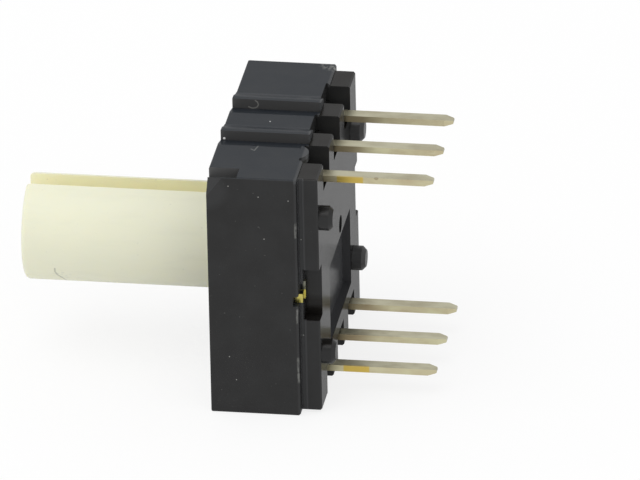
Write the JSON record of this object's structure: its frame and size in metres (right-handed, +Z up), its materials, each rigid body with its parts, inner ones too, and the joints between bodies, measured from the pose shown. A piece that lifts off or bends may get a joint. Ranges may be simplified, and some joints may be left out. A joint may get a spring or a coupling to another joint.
{
  "type": "rotary coded switch",
  "caption": "Small board-mount rotary coded switch: black two-part housing, slotted ivory shaft, two rows of flat pins, side windows and stand-off posts.",
  "frame": {"origin": "on the shaft's axis, in the plane of the circuit board's face, at the middle of the pin pattern", "axes": "+X along the pins, away from the shaft; +Z up as the switch lies on its long side; +Y towards the far side"},
  "size_m": [0.0153, 0.01, 0.0096],
  "materials": {
    "black_moulding": "matte moulded",
    "black_base_moulding": "matte moulded",
    "ivory_moulding": "satin moulded",
    "tinned_brass": "tin plated",
    "gold_contact": "gold plated",
    "spring_brass": "bright rolled"
  },
  "bodies": {
    "housing": {"cover": "black_moulding", "base": "black_base_moulding", "detent_spring_near": "spring_brass", "detent_spring_far": "spring_brass", "terminal_common_upper": "tinned_brass", "terminal_common_lower": "tinned_brass", "terminal_code_1": "tinned_brass", "terminal_code_2": "tinned_brass", "terminal_code_4": "tinned_brass", "terminal_code_8": "tinned_brass", "brush_common_upper": "gold_contact", "brush_common_lower": "gold_contact", "brush_code_1": "gold_contact", "brush_code_2": "gold_contact", "brush_code_4": "gold_contact", "brush_code_8": "gold_contact"},
    "rotor": {"rotor": "ivory_moulding", "code_disc": "gold_contact"}
  },
  "joints": [
    {"name": "rotor_turn", "type": "hinge", "parent": "housing", "child": "rotor", "pos_m": [0, 0, 0], "axis": [-1, 0, 0], "continuous": true, "deforming": ["detent_spring_near", "detent_spring_far"]}
  ]
}
